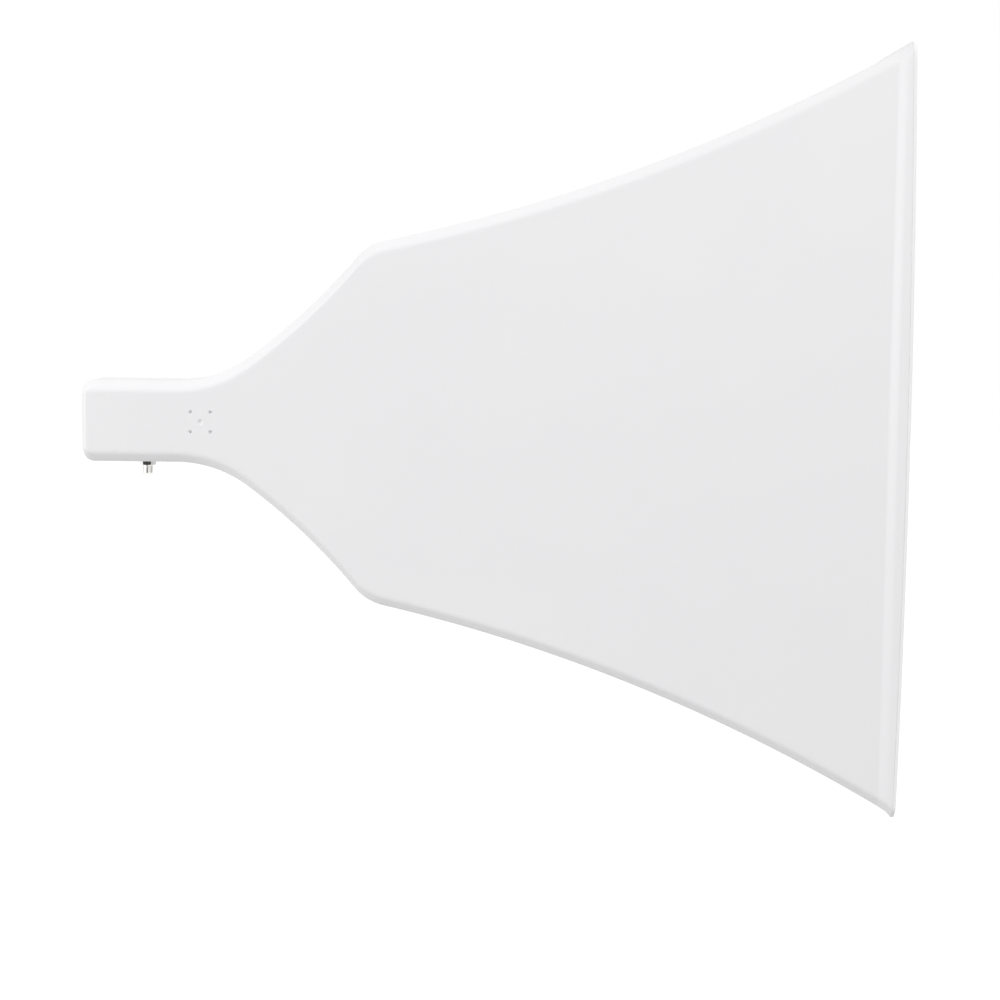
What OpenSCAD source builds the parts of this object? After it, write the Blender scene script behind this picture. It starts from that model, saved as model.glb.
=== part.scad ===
// Tall, narrow horn antenna for 5 GHz, two polarisations, on a side mount for a vertical pole.
// Frame: origin on the pole's axis, level with the horn's axis. +X towards the mouth, +Z up the
// pole. The horn stands beside the pole, towards -Y. Inside the horn modules, x is counted from the
// rear end, y from the horn's own mid-plane and z from its axis.

/* [Outline] */
// Length from the rear end to the middle of the radome's front
horn_len = 460; // [440:5:480]
// Outside height of the neck
neck_h = 46; // [44:0.5:48]
// Outside width of the neck
neck_w = 46; // [45:0.5:48]
// Length of the straight part of the neck
neck_len = 53; // [48:1:58]
// Outside width at the mouth, without the rim
mouth_w = 130; // [110:2:150]
// Radius of the curve that leaves the neck
throat_r = 68; // [55:1:75]
// Slope where the curve that leaves the neck ends
throat_slope = 36.4; // [33:0.1:39]
// Radius of the first flare
first_r = 358; // [320:1:400]
// Slope at the end of the first flare
first_slope = 49.8; // [47:0.1:52]
// Radius of the shoulder between the two flares
shoulder_r = 30; // [22:1:36]
// Slope just after the shoulder
second_slope = 12.2; // [10:0.1:15]
// Slope at the mouth
mouth_slope = 29.6; // [27:0.1:32]

/* [Housing] */
// Wall of the housing and its back cover
cover_wall = 2.5; // [2:0.1:3]
// Height of the 45 degree flat along the long edges
edge_flat = 2.8; // [2:0.1:4]
// Radius between that flat and the top or bottom wall
edge_top_r = 3.2; // [3.1:0.1:4]
// Radius between that flat and the side wall
edge_side_r = 4.5; // [3.2:0.1:6]
// Radius of the rear end seen from the side
rear_side_r = 6.3; // [4:0.1:7]
// Radius of the rear end seen from above
rear_plan_r = 3; // [2.6:0.2:4]
// Depth of the back cover's edge, from its face to the seam
seam_depth = 11; // [9:0.5:14]
// Thickness of the lip on the back cover, which laps inside the housing's wall
lip_t = 0.9; // [0.6:0.1:1]
// How far the lip reaches past the seam
lip_reach = 3; // [2:0.5:5]
// How far the rim stands out from the side walls
rim_step = 2; // [1:0.25:3]
// Length of the bevel that leads up to the rim
bevel_len = 4.4; // [3:0.2:6]
// Length of the rim, bevel left out, at the height of the axis
rim_len = 7; // [6:0.25:9]
// How far the front bulges between its top and its middle
crown = 2.5; // [1:0.25:4]
// Thickness of the radome
radome_t = 1.5; // [1:0.1:2.5]
// Thickness of the gasket behind the radome
gasket_t = 0.3; // [0.3:0.1:0.8]
// Width of the gasket
gasket_w = 1.6; // [1.2:0.1:2]
// How far the gasket stays back from the radome's edge
gasket_inset = 0.5; // [0.3:0.1:1]

/* [Horn and feed] */
// Space between the housing and the metal inside it
liner_gap = 1.3; // [1.2:0.1:1.8]
// Wall of the feed casting
guide_wall = 2; // [1.6:0.1:2.4]
// Thickness of the horn's sheets
sheet_t = 1.5; // [1:0.1:1.6]
// Distance from the rear end to the feed casting's front
guide_end = 82; // [80:1:88]
// Thickness of the feed casting's closed end
short_t = 4; // [3:0.5:6]
// Distance from the rear end to the lower port
lower_port_x = 34; // [28:1:40]
// Distance from the rear end to the side port
side_port_x = 67; // [62:1:71]
// Length of the probe inside the feed
probe_len = 12; // [9:0.5:13]
// Diameter of the probe inside the feed
probe_d = 3; // [2:0.2:4]

/* [Ports] */
// Outside diameter of the threaded barrel
barrel_d = 6.2; // [6:0.05:6.35]
// Length of the barrel beyond its nut
barrel_out = 5.4; // [5:0.2:8]
// Clearance round the barrel in the walls, on the radius
barrel_play = 0.15; // [0.1:0.05:0.3]
// Diameter of the barrel's flange inside the feed
flange_d = 10; // [8:0.5:12]
// Thickness of that flange
flange_t = 1.5; // [1:0.1:2]
// Bore at the open end of the barrel
socket_d = 4.6; // [4.4:0.05:4.8]
// Depth of the bore at the open end
socket_depth = 3.6; // [3:0.2:5]
// Diameter of the insulator
insulator_d = 4.1; // [3.8:0.1:4.2]
// Diameter of the contact in the insulator
contact_d = 1.3; // [1.2:0.1:1.5]
// Diameter of the contact's tip
tip_d = 0.9; // [0.8:0.02:1]
// Hexagon of the nut, across flats
nut_af = 8; // [7.5:0.1:8.5]
// Height of the nut
nut_t = 2.4; // [2:0.1:3]
// Outside diameter of the lock washer
lock_d = 7.8; // [7.4:0.1:8]
// Thickness of the lock washer
lock_t = 0.7; // [0.5:0.1:1]

/* [Dimples] */
// Distance between the four small dimples
dimple_pitch = 11.2; // [9:0.2:13]
// Diameter of a small dimple, a cone with a flat floor
dimple_d = 2.4; // [1.8:0.1:3]
// Diameter of the flat floor of a small dimple
dimple_floor_d = 1.5; // [1:0.1:1.7]
// Diameter of the middle dimple, a ball's cap
dimple_mid_d = 3.6; // [2.6:0.1:4]
// Depth of the dimples
dimple_depth = 1.1; // [0.6:0.1:1.2]

/* [Pole mount] */
// Diameter of the pole
pole_d = 60.3; // [58:0.1:62]
// Distance from the pole's axis to the horn's mid-plane
pole_offset = 145; // [140:1:160]
// Distance from the horn's rear end to the pole's axis
pole_from_rear = 231; // [220:1:240]
// Height of the two jaws
jaw_h = 56; // [52:1:64]
// Wall of the jaws round the pole
jaw_wall = 9; // [7:0.5:11]
// Thickness of the jaws' ears
ear_t = 10; // [8:0.5:12]
// Space between the ears
ear_gap = 10; // [6:0.5:14]
// Width across the ears
ear_span = 118; // [116:1:124]
// Distance between the clamp bolts across the pole
bolt_span = 96; // [93:1:98]
// Distance between the clamp bolts along the pole
bolt_rise = 32; // [28:1:36]
// Diameter of the clamp bolts
bolt_d = 8; // [7:0.5:8]
// Clearance round the clamp bolts, on the radius
bolt_play = 0.4; // [0.3:0.1:0.6]
// Width of the arm's foot
foot_w = 84; // [80:1:90]
// Height of the arm's foot
foot_h = 96; // [92:1:104]
// Thickness of the arm's foot
foot_t = 6; // [5:0.5:8]
// Radius of the foot's and the ears' corners
corner_r = 7; // [5:0.5:9]
// Distance between the foot's screws across
foot_screw_w = 62; // [60:1:66]
// Distance between the foot's screws in height
foot_screw_h = 74; // [70:1:78]
// Diameter of the foot's screws
screw_d = 6; // [5:0.5:6]
// Clearance round the foot's screws, on the radius
screw_play = 0.3; // [0.2:0.1:0.5]
// How far the housing's pad stands out from the back cover, at its front edge
pad_stand = 6.5; // [6:0.5:8]
// Thickness of the pad's ribs
pad_rib = 3; // [2:0.5:4]
// Wall of the threaded inserts in the pad
insert_wall = 1.5; // [1.2:0.1:2]
// Length of the threaded inserts
insert_len = 8; // [7:0.5:8]
// Wall of the pad's bosses round the inserts
boss_wall = 2.5; // [2:0.5:3]
// Thickness of the arm's webs
web_t = 6; // [5:0.5:8]
// Distance between the arm's two upright webs, centre to centre
web_span = 38; // [36:1:40]
// How far the upright webs draw in between the foot and the jaw
web_waist = 5; // [3:0.5:7]
// Diameter of the two openings in each upright web
web_hole_d = 13; // [10:0.5:15]
// Distance from the middle of those openings to the level web
web_hole_rise = 14; // [12:0.5:15]
// Thickness of the washers
washer_t = 1.6; // [1.2:0.1:2]

/* [Hidden] */
$fn = 64;
STEPS = 8;
CORNER_STEPS = 3;
EPS = 0.02;
// How far a cutter runs past what it cuts
OVERCUT = 1;
// The pad's face is rounded to tenths
TENTHS = 10;
// How deep the lip is rooted in the cover's wall, and its clearance in the housing
LIP_ROOT = 0.3;
LIP_PLAY = 0.1;
// Free space past the tip of a screw in its blind insert
SCREW_TIP_GAP = 1;
EDGE_ANGLE = 45;
half_h = neck_h / 2;
half_w = neck_w / 2;
half_mouth = mouth_w / 2;
front_x = horn_len - radome_t - gasket_t;
rim_x = horn_len - rim_len;
bevel_x = rim_x - bevel_len;
liner_in = cover_wall + liner_gap;
guide_in = liner_in + guide_wall;
guide_half_h = half_h - guide_in;
guide_half_w = half_w - guide_in;
barrel_len = guide_in + lock_t + nut_t + barrel_out;
sheet_in = guide_in - sheet_t;
barrel_chamfer = 0.5;
insulator_end = barrel_len - socket_depth;
dimple_cap_r = (pow(dimple_mid_d / 2, 2) + pow(dimple_depth, 2)) / (2 * dimple_depth);
insert_d = screw_d + 2 * insert_wall;
boss_d = insert_d + 2 * boss_wall;
pole_r = pole_d / 2;
jaw_r = pole_r + jaw_wall;
ear_y = ear_gap / 2 + ear_t;
// Standard heads and nuts follow from the thread: M8 has a 13 mm hexagon, M6 a 10 mm one
bolt_af = 1.625 * bolt_d;
bolt_head_t = 0.66 * bolt_d;
clamp_nut_t = 0.8 * bolt_d;
screw_af = 5 / 3 * screw_d;
screw_head_t = 2 / 3 * screw_d;

// ---- Profile: a station is [distance from the rear end, half height, slope] ----

// Point on an arc that starts at station p with signed radius r, where the slope has become a
function arc_at(p, r, a) = [p[0] + r * (sin(a) - sin(p[2])), p[1] + r * (cos(p[2]) - cos(a)), a];
function arc_run(p, r, a) = [for (i = [1:STEPS]) arc_at(p, r, p[2] + (a - p[2]) * i / STEPS)];

neck_end = [neck_len, half_h, 0];
throat_end = arc_at(neck_end, throat_r, throat_slope);
first_end = arc_at(throat_end, first_r, first_slope);
shoulder_end = arc_at(first_end, -shoulder_r, second_slope);
second_r = (horn_len - shoulder_end[0]) / (sin(mouth_slope) - sin(second_slope));
shoulder_x = shoulder_end[0];

function second_at(x) = arc_at(shoulder_end, second_r,
    asin(sin(second_slope) + (x - shoulder_x) / second_r));

curved_stations = concat([neck_end], arc_run(neck_end, throat_r, throat_slope),
    arc_run(throat_end, first_r, first_slope), arc_run(first_end, -shoulder_r, second_slope));
flare_stations = [for (i = [1:2 * STEPS])
    second_at(shoulder_x + (bevel_x - shoulder_x) * i / (2 * STEPS))];
rim_stations = [second_at(rim_x), second_at(front_x)];
mouth_half_h = rim_stations[1][1];

// Half width in plan: straight to the feed's front, then one long arc to the mouth
plan_r = (pow(horn_len - guide_end, 2) + pow(half_mouth - half_w, 2)) / (2 * (half_mouth - half_w));
function plan_slope(x) = x <= guide_end ? 0 : asin((x - guide_end) / plan_r);
function plan_w(x) = half_w + plan_r * (1 - cos(plan_slope(x)));
pad_x = pole_from_rear - foot_w / 2;
pad_y = round(TENTHS * (pole_offset - plan_w(pad_x + foot_w) - pad_stand)) / TENTHS;

// Side and plan widths of a surface that lies d inside the outer one
function side_in(p, d) = p[1] - d / cos(p[2]);
function plan_in(x, d) = plan_w(x) - d / cos(plan_slope(x));

// ---- Housing shells ----

rear_stations = [for (i = [0:3]) [cover_wall * (1 - cos(30 * i)), half_h, 0]];
rear_edge_stations = [for (i = [1:3])
    [cover_wall + (rear_side_r - cover_wall) * i / 3, half_h, 0]];
shell_stations = concat(rear_stations, rear_edge_stations, curved_stations, flare_stations,
    rim_stations);
inner_stations = [for (i = [len(rear_stations) - 1:len(shell_stations) - 1]) shell_stations[i]];

function end_inset(x, r) = x < r ? r - sqrt(r * r - pow(r - x, 2)) : 0;
function rim_out(x) = x > bevel_x + EPS ? rim_step : 0;

// Sizes of a long edge that lies d inside the outer surface: its two radii and its flat
function edge(d) = [edge_top_r - d, edge_side_r - d, edge_flat];
function edge_in(e) = sin(EDGE_ANGLE) * e[0] + e[2] + (1 - sin(EDGE_ANGLE)) * e[1];
function edge_down(e) = (1 - cos(EDGE_ANGLE)) * e[0] + e[2] + cos(EDGE_ANGLE) * e[1];

// Corner of a section with half width w and half height h, from the top wall to the side wall
function corner(w, h, e) = concat(
    [for (i = [0:CORNER_STEPS]) let (a = EDGE_ANGLE * i / CORNER_STEPS)
        [w - edge_in(e) + e[0] * sin(a), h - e[0] * (1 - cos(a))]],
    [for (i = [0:CORNER_STEPS]) let (a = EDGE_ANGLE + (90 - EDGE_ANGLE) * i / CORNER_STEPS)
        [w - e[1] * (1 - sin(a)), h - edge_down(e) + e[1] * cos(a)]]);
function lowered(path) = [for (i = [len(path) - 1:-1:0]) [path[i][0], -path[i][1]]];

// Open cross-section at station p, from the seam round the side wall and back to the seam
function ring(p, h, w, e, seam) = let (half = concat([[seam, h]], corner(w, h, e)))
    [for (q = concat(half, lowered(half))) [p[0], q[0], q[1]]];

function outer_ring(p, seam) = let (inset = end_inset(p[0], rear_side_r))
    ring(p, p[1] - inset, plan_w(p[0]) + rim_out(p[0]) - end_inset(p[0], rear_plan_r),
        edge(0) * (1 - inset / (2 * rear_side_r)), seam);
function inner_ring(p, seam) = ring(p, side_in(p, cover_wall), plan_in(p[0], cover_wall),
    edge(cover_wall), seam);

// Half shell whose wall is at +y, cut at the seam. side is 1 for a shallow cover and -1 for a deep one
module shell(side) {
    n = len(shell_stations);
    k = len(inner_stations);
    first = n - k;
    m = 4 * CORNER_STEPS + 6;
    outer = [for (p = shell_stations) each outer_ring(p, side * (plan_w(p[0]) - seam_depth))];
    inner = [for (p = inner_stations) each inner_ring(p, side * (plan_w(p[0]) - seam_depth))];
    function o(i, j) = i * m + j;
    function v(i, j) = n * m + (i - first) * m + j;
    outer_faces = [for (i = [0:n - 2], j = [0:m - 2]) [o(i, j), o(i, j + 1), o(i + 1, j + 1),
        o(i + 1, j)]];
    inner_faces = [for (i = [first:n - 2], j = [0:m - 2]) [v(i, j), v(i + 1, j), v(i + 1, j + 1),
        v(i, j + 1)]];
    front_faces = [for (j = [0:m - 2]) [o(n - 1, j), o(n - 1, j + 1), v(n - 1, j + 1),
        v(n - 1, j)]];
    seam_faces = [for (i = [first:n - 2]) each [[o(i, 0), o(i + 1, 0), v(i + 1, 0), v(i, 0)],
        [v(i, m - 1), v(i + 1, m - 1), o(i + 1, m - 1), o(i, m - 1)]]];
    end_seam_faces = [for (i = [0:first - 2]) [o(i, 0), o(i + 1, 0), o(i + 1, m - 1),
        o(i, m - 1)]];
    end_faces = [[for (j = [0:m - 1]) o(0, m - 1 - j)], [for (j = [0:m - 1]) v(first, j)],
        [o(first - 1, 0), o(first, 0), v(first, 0), v(first, m - 1), o(first, m - 1),
            o(first - 1, m - 1)]];
    intersection() {
        polyhedron(points = concat(outer, inner), faces = concat(outer_faces, inner_faces,
            front_faces, seam_faces, end_seam_faces, end_faces), convexity = 6);
        bowed_band(radome_t + gasket_t, horn_len + OVERCUT);
    }
}

// ---- Placing ----

module horn_frame() {
    translate([-pole_from_rear, -pole_offset, 0]) children();
}

// Along a port's axis: z = 0 is the feed's inner face and +z points out of the horn
module lower_port() {
    horn_frame() translate([lower_port_x, 0, -guide_half_h]) rotate([180, 0, 0]) children();
}

module side_port() {
    horn_frame() translate([side_port_x, guide_half_w, 0]) rotate([-90, 0, 0]) children();
}

// Along +y: a screw or hole whose local +z points away from the horn
module along_y() {
    rotate([-90, 0, 0]) children();
}

module at_grid(w, h) {
    for (sx = [-1, 1], sz = [-1, 1]) translate([sx * w / 2, 0, sz * h / 2]) children();
}

module rounded_rect(w, h, r) {
    square([w - 2 * r, h], center = true);
    square([w, h - 2 * r], center = true);
    for (sx = [-1, 1], sy = [-1, 1]) translate([sx * (w / 2 - r), sy * (h / 2 - r)]) circle(r = r);
}

// ---- Housing, cover and radome ----

module housing() {
    color("whitesmoke") difference() {
        horn_frame() difference() {
            mirror([0, 1, 0]) shell(-1);
            translate([side_port_x, -half_w, 0]) rotate([90, 0, 0]) dimples();
        }
        lower_port() cylinder(h = barrel_len, d = barrel_d + 2 * barrel_play);
    }
}

// Blind recesses sunk from z = 0 towards -z
module dimples() {
    translate([0, 0, dimple_cap_r - dimple_depth]) sphere(r = dimple_cap_r, $fn = 24);
    for (sx = [-1, 1], sy = [-1, 1])
        translate([sx * dimple_pitch / 2, sy * dimple_pitch / 2, -dimple_depth]) {
            cylinder(h = dimple_depth, d1 = dimple_floor_d, d2 = dimple_d, $fn = 24);
            translate([0, 0, dimple_depth - EPS])
                cylinder(h = OVERCUT, d = dimple_d, $fn = 24);
        }
}

module back_cover() {
    color("whitesmoke") difference() {
        union() {
            horn_frame() shell(1);
            horn_frame() lip();
            pad();
        }
        side_port() cylinder(h = barrel_len, d = barrel_d + 2 * barrel_play);
        translate([0, -pad_y, 0]) at_grid(foot_screw_w, foot_screw_h) along_y()
            translate([0, 0, -insert_len]) cylinder(h = insert_len + OVERCUT, d = insert_d);
    }
}

// Lip along the seam: rooted in the cover's wall and lapping inside the housing's
module lip() {
    lip_band(cover_wall + LIP_PLAY, -lip_reach, lip_reach);
    lip_band(cover_wall - LIP_ROOT, LIP_ROOT, lip_reach);
}

// Band inside the walls, from depth d to the lip's inner face and between two distances from the seam
module lip_band(d, from, to) {
    inner = cover_wall + lip_t;
    intersection() {
        difference() {
            side_bar(d, d, rim_x);
            side_bar(inner, inner, rim_x + OVERCUT);
        }
        linear_extrude(height = 2 * horn_len, center = true) polygon(concat(
            [for (x = seam_stations) [x, plan_w(x) - seam_depth + from]],
            [for (i = [len(seam_stations) - 1:-1:0])
                [seam_stations[i], plan_w(seam_stations[i]) - seam_depth + to]]));
    }
}

// Ribbed pad that fills the wedge between the curved cover and the flat foot
module pad() {
    intersection() {
        horn_frame() linear_extrude(height = foot_h, center = true) polygon(concat(
            [for (i = [0:STEPS]) let (x = pad_x + foot_w * i / STEPS)
                [x, plan_in(x, cover_wall / 2)]],
            [[pad_x + foot_w, pole_offset - pad_y], [pad_x, pole_offset - pad_y]]));
        rotate([90, 0, 0]) linear_extrude(height = pole_offset) pad_ribs();
    }
}

module pad_ribs() {
    difference() {
        rounded_rect(foot_w, foot_h, corner_r);
        rounded_rect(foot_w - 2 * pad_rib, foot_h - 2 * pad_rib, corner_r - pad_rib);
    }
    square([pad_rib, foot_h - pad_rib], center = true);
    square([foot_w - pad_rib, pad_rib], center = true);
    for (sx = [-1, 1], sy = [-1, 1])
        translate([sx * foot_screw_w / 2, sy * foot_screw_h / 2]) circle(d = boss_d);
}

module pad_inserts() {
    color("goldenrod") translate([0, -pad_y, 0]) at_grid(foot_screw_w, foot_screw_h)
        along_y() translate([0, 0, -insert_len]) difference() {
            cylinder(h = insert_len, d = insert_d);
            translate([0, 0, insert_wall / 2]) cylinder(h = insert_len, d = screw_d);
        }
}

// Bowed band between two distances behind the radome's front, in the side view
module bowed_band(from, to) {
    zs = [for (i = [-2 * STEPS:2 * STEPS]) mouth_half_h * i / (2 * STEPS)];
    function x_at(z, back) = horn_len - back - crown * pow(z / mouth_half_h, 2);
    rotate([90, 0, 0]) linear_extrude(height = 2 * mouth_w, center = true)
        polygon(concat([for (z = zs) [x_at(z, from), z]],
            [for (i = [len(zs) - 1:-1:0]) [x_at(zs[i], to), zs[i]]]));
}

// Outline of the mouth, d inside its outer edge, as a bar along +x
module mouth_bar(d) {
    half = corner(half_mouth + rim_step - d, mouth_half_h - d, edge(d));
    side = concat(half, lowered(half));
    translate([horn_len / 2, 0, 0]) rotate([90, 0, 90]) linear_extrude(height = horn_len)
        polygon(concat(side, [for (i = [len(side) - 1:-1:0]) [-side[i][0], side[i][1]]]));
}

module radome() {
    color("white") horn_frame() intersection() {
        bowed_band(0, radome_t);
        mouth_bar(0);
    }
}

module radome_gasket() {
    color("dimgray") horn_frame() intersection() {
        bowed_band(radome_t, radome_t + gasket_t);
        difference() {
            mouth_bar(gasket_inset);
            mouth_bar(gasket_inset + gasket_w);
        }
    }
}

// ---- Metal horn and feed ----

// Side view of everything that lies d inside the outer surface, between two distances
module side_bar(d, from, to) {
    start = from > neck_len ? throat_at(from) : [from, half_h, 0];
    end = to < shoulder_x ? throat_at(to) : second_at(to);
    run = concat([start], [for (p = concat(curved_stations, flare_stations))
        if (p[0] > from + EPS && p[0] < to - EPS) p], [end]);
    rotate([90, 0, 0]) linear_extrude(height = 2 * mouth_w, center = true)
        polygon(concat([for (p = run) [p[0], side_in(p, d)]],
            [for (i = [len(run) - 1:-1:0]) [run[i][0], -side_in(run[i], d)]]));
}

function throat_at(x) = arc_at(neck_end, throat_r, asin((x - neck_len) / throat_r));

plan_stations = [for (i = [0:2 * STEPS]) guide_end + (rim_x - guide_end) * i / (2 * STEPS)];
seam_stations = concat([0], plan_stations);

// The same in plan
module plan_bar(d, from, to) {
    xs = concat([from], [for (x = plan_stations) if (x > from + EPS && x < to - EPS) x], [to]);
    linear_extrude(height = 4 * mouth_half_h, center = true)
        polygon(concat([for (x = xs) [x, plan_in(x, d)]],
            [for (i = [len(xs) - 1:-1:0]) [xs[i], -plan_in(xs[i], d)]]));
}

module flare_bar(d, from, to) {
    intersection() {
        side_bar(d, from, to);
        plan_bar(d, from, to);
    }
}

// Bar along the horn whose four long corners are cut at 45 degrees
module eased_bar(w, h, cut) {
    right = [[w - cut, -h], [w, cut - h], [w, h - cut], [w - cut, h]];
    left = [[cut - w, h], [-w, h - cut], [-w, cut - h], [cut - w, -h]];
    rotate([90, 0, 90]) linear_extrude(height = horn_len)
        polygon(concat(right, left));
}

module feed_casting() {
    color("silver") difference() {
        horn_frame() difference() {
            intersection() {
                flare_bar(liner_in, liner_in, guide_end);
                eased_bar(half_w - liner_in, half_h - liner_in, edge_flat);
            }
            flare_bar(guide_in, liner_in + short_t, guide_end + OVERCUT);
        }
        lower_port() cylinder(h = barrel_len, d = barrel_d + 2 * barrel_play);
        side_port() cylinder(h = barrel_len, d = barrel_d + 2 * barrel_play);
    }
}

module horn_flat_sheet(up) {
    color("gainsboro") horn_frame() intersection() {
        difference() {
            side_bar(sheet_in, guide_end, rim_x);
            side_bar(guide_in, guide_end - OVERCUT, rim_x + OVERCUT);
        }
        plan_bar(guide_in, guide_end, rim_x);
        translate([0, -mouth_w, up > 0 ? 0 : -horn_len]) cube([horn_len, 2 * mouth_w, horn_len]);
    }
}

module horn_side_sheet(out) {
    color("gainsboro") horn_frame() intersection() {
        difference() {
            plan_bar(sheet_in, guide_end, rim_x);
            plan_bar(guide_in, guide_end - OVERCUT, rim_x + OVERCUT);
        }
        side_bar(sheet_in, guide_end, rim_x);
        translate([0, out > 0 ? 0 : -mouth_w, -horn_len]) cube([horn_len, mouth_w, 2 * horn_len]);
    }
}

module horn_top_sheet() {
    horn_flat_sheet(1);
}

module horn_bottom_sheet() {
    horn_flat_sheet(-1);
}

module horn_near_sheet() {
    horn_side_sheet(-1);
}

module horn_far_sheet() {
    horn_side_sheet(1);
}

// ---- Ports: turned parts along +z ----

module port_barrel() {
    color("silver") rotate_extrude() polygon([[insulator_d / 2, -flange_t],
        [flange_d / 2, -flange_t], [flange_d / 2, 0], [barrel_d / 2, 0],
        [barrel_d / 2, barrel_len - barrel_chamfer],
        [barrel_d / 2 - barrel_chamfer, barrel_len], [socket_d / 2, barrel_len],
        [socket_d / 2, insulator_end], [insulator_d / 2, insulator_end]]);
}

module port_insulator() {
    color("ivory") translate([0, 0, -flange_t]) difference() {
        cylinder(h = insulator_end + flange_t, d = insulator_d);
        translate([0, 0, -OVERCUT]) cylinder(h = barrel_len + flange_t, d = contact_d);
    }
}

module port_probe() {
    color("gold") {
        translate([0, 0, -flange_t - probe_len]) cylinder(h = probe_len, d = probe_d);
        translate([0, 0, -flange_t - EPS]) cylinder(h = insulator_end + flange_t + EPS,
            d = contact_d);
        cylinder(h = barrel_len - tip_d, d = tip_d);
        translate([0, 0, barrel_len - tip_d]) cylinder(h = tip_d / 2, d1 = tip_d, d2 = tip_d / 2);
    }
}

module port_seal() {
    color("black") translate([0, 0, guide_wall + liner_gap / 2]) rotate_extrude()
        translate([barrel_d / 2 + liner_gap / 2, 0]) circle(d = liner_gap);
}

module port_lock_washer() {
    color("silver") translate([0, 0, guide_in]) difference() {
        cylinder(h = lock_t, d = lock_d);
        translate([0, 0, -OVERCUT]) cylinder(h = lock_t + 2 * OVERCUT, d = barrel_d + 2 * barrel_play);
    }
}

module port_nut() {
    color("silver") translate([0, 0, guide_in + lock_t]) hex_nut(nut_af, nut_t, barrel_d);
}

// Hexagon nut with chamfered corners at both ends
module hex_nut(af, h, bore) {
    difference() {
        hex_head(af, h);
        translate([0, 0, -OVERCUT]) cylinder(h = h + 2 * OVERCUT, d = bore);
    }
}

// Hexagon with its corners turned off at both ends
module hex_head(af, h) {
    corner = af / cos(30);
    cut = (corner - af) / 2;
    intersection() {
        cylinder(h = h, d = corner, $fn = 6);
        rotate_extrude() polygon([[0, 0], [af / 2, 0], [af / 2 + 2 * cut, cut],
            [af / 2 + 2 * cut, h - cut], [af / 2, h], [0, h]]);
    }
}

module lower_port_barrel() {
    lower_port() port_barrel();
}

module lower_port_insulator() {
    lower_port() port_insulator();
}

module lower_port_probe() {
    lower_port() port_probe();
}

module lower_port_seal() {
    lower_port() port_seal();
}

module lower_port_lock_washer() {
    lower_port() port_lock_washer();
}

module lower_port_nut() {
    lower_port() port_nut();
}

module side_port_barrel() {
    side_port() port_barrel();
}

module side_port_insulator() {
    side_port() port_insulator();
}

module side_port_probe() {
    side_port() port_probe();
}

module side_port_seal() {
    side_port() port_seal();
}

module side_port_lock_washer() {
    side_port() port_lock_washer();
}

module side_port_nut() {
    side_port() port_nut();
}

// ---- Pole mount ----

// Cross-section of a jaw that lies at -y of the pole
module jaw_section() {
    difference() {
        union() {
            intersection() {
                circle(r = jaw_r);
                translate([-jaw_r, -jaw_r]) square([2 * jaw_r, jaw_r - ear_gap / 2]);
            }
            translate([-ear_span / 2, -ear_y]) square([ear_span, ear_t]);
        }
        circle(r = pole_r);
    }
}

// Jaw with rounded ears and four bolt holes
module jaw() {
    difference() {
        intersection() {
            linear_extrude(height = jaw_h, center = true) jaw_section();
            rotate([90, 0, 0]) linear_extrude(height = jaw_r)
                rounded_rect(ear_span, jaw_h, corner_r);
        }
        at_grid(bolt_span, bolt_rise) along_y() cylinder(h = 4 * ear_t,
            d = bolt_d + 2 * bolt_play, center = true);
    }
}

module clamp_jaw() {
    color("silver") rotate([0, 0, 180]) {
        jaw();
        jaw_rib();
    }
}

// Level rib that stiffens both ears against the ring
module jaw_rib() {
    difference() {
        linear_extrude(height = web_t, center = true) polygon([
            [-ear_span / 2 + corner_r, EPS - ear_y], [-jaw_r / 4, EPS - jaw_r + jaw_wall / 4],
            [jaw_r / 4, EPS - jaw_r + jaw_wall / 4], [ear_span / 2 - corner_r, EPS - ear_y]]);
        cylinder(h = 2 * web_t, r = pole_r + jaw_wall / 2, center = true);
    }
}

module mount_arm() {
    color("silver") {
        jaw();
        foot();
        difference() {
            union() {
                upright_webs();
                level_web();
            }
            cylinder(h = foot_h, r = pole_r + jaw_wall / 2, center = true);
        }
    }
}

module foot() {
    translate([0, -pad_y, 0]) difference() {
        rotate([-90, 0, 0]) linear_extrude(height = foot_t) rounded_rect(foot_w, foot_h, corner_r);
        at_grid(foot_screw_w, foot_screw_h) along_y() translate([0, 0, -OVERCUT])
            cylinder(h = foot_t + 2 * OVERCUT, d = screw_d + 2 * screw_play);
    }
}

// Outline of an upright web above the axis: t runs from 0 in the foot to 1 on the pole's axis
web_near = foot_t / 2 - pad_y;
function waist_at(t) = [web_near * (1 - t),
    (foot_h / 2 - corner_r) * (1 - t) + jaw_h / 2 * t - 4 * web_waist * t * (1 - t)];

module upright_webs() {
    edge = [for (i = [0:STEPS]) waist_at(i / STEPS)];
    for (side = [-1, 1]) translate([side * web_span / 2, 0, 0]) rotate([90, 0, 90])
        linear_extrude(height = web_t, center = true) difference() {
            polygon(concat(edge, [for (i = [STEPS:-1:0]) [edge[i][0], -edge[i][1]]]));
            for (up = [-1, 1]) translate([(web_near - jaw_r) / 2, up * web_hole_rise])
                circle(d = web_hole_d);
        }
}

// Level web from the foot to the jaw's ears, wider at the ears
module level_web() {
    linear_extrude(height = web_t, center = true) polygon([
        [-web_span / 2 - web_t, web_near], [web_span / 2 + web_t, web_near],
        [ear_span / 2 - corner_r, EPS - ear_y], [corner_r - ear_span / 2, EPS - ear_y]]);
}

module arm_screws() {
    shank = foot_t + washer_t + insert_len - insert_wall / 2 - SCREW_TIP_GAP;
    color("silver") translate([0, foot_t + washer_t - pad_y, 0])
        at_grid(foot_screw_w, foot_screw_h) along_y() {
            hex_head(screw_af, screw_head_t);
            translate([0, 0, -shank]) cylinder(h = shank + EPS, d = screw_d);
        }
}

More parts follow.
